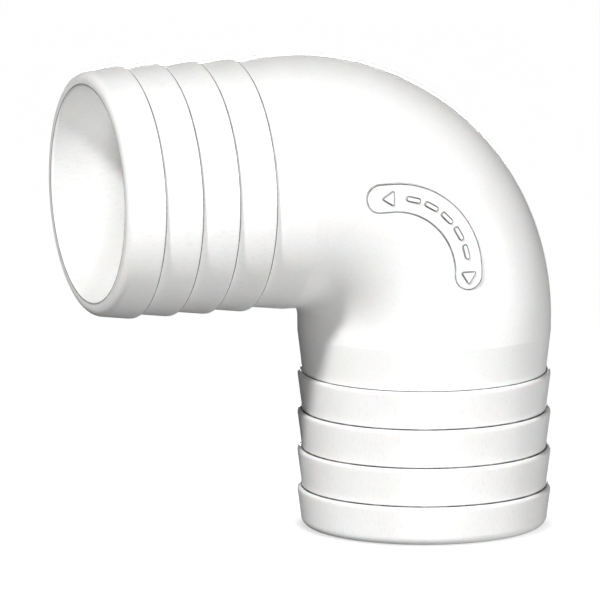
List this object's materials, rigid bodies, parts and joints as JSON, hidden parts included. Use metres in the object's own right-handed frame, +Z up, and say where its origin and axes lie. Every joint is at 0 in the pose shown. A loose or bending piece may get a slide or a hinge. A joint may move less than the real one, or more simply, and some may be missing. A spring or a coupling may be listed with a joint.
{
  "type": "90 degree hose tail elbow",
  "caption": "White moulded nylon 90 degree elbow for marine hose, with a barbed hose tail at each end, a smooth bore and a raised pad that carries a flow arrow.",
  "frame": {"origin": "centre of the lower hose tail's mouth, on its end plane", "axes": "+Z up the lower hose tail's centreline, -X out along the side hose tail, -Y out of the flat face of the marking pad"},
  "size_m": [0.1005, 0.0531, 0.1005],
  "materials": {
    "white_nylon": "satin moulded glass-filled nylon"
  },
  "bodies": {
    "root": {"elbow_bend": "white_nylon", "side_hose_tail": "white_nylon", "lower_hose_tail": "white_nylon", "marking_pad": "white_nylon", "flow_arrow": "white_nylon"}
  },
  "joints": []
}
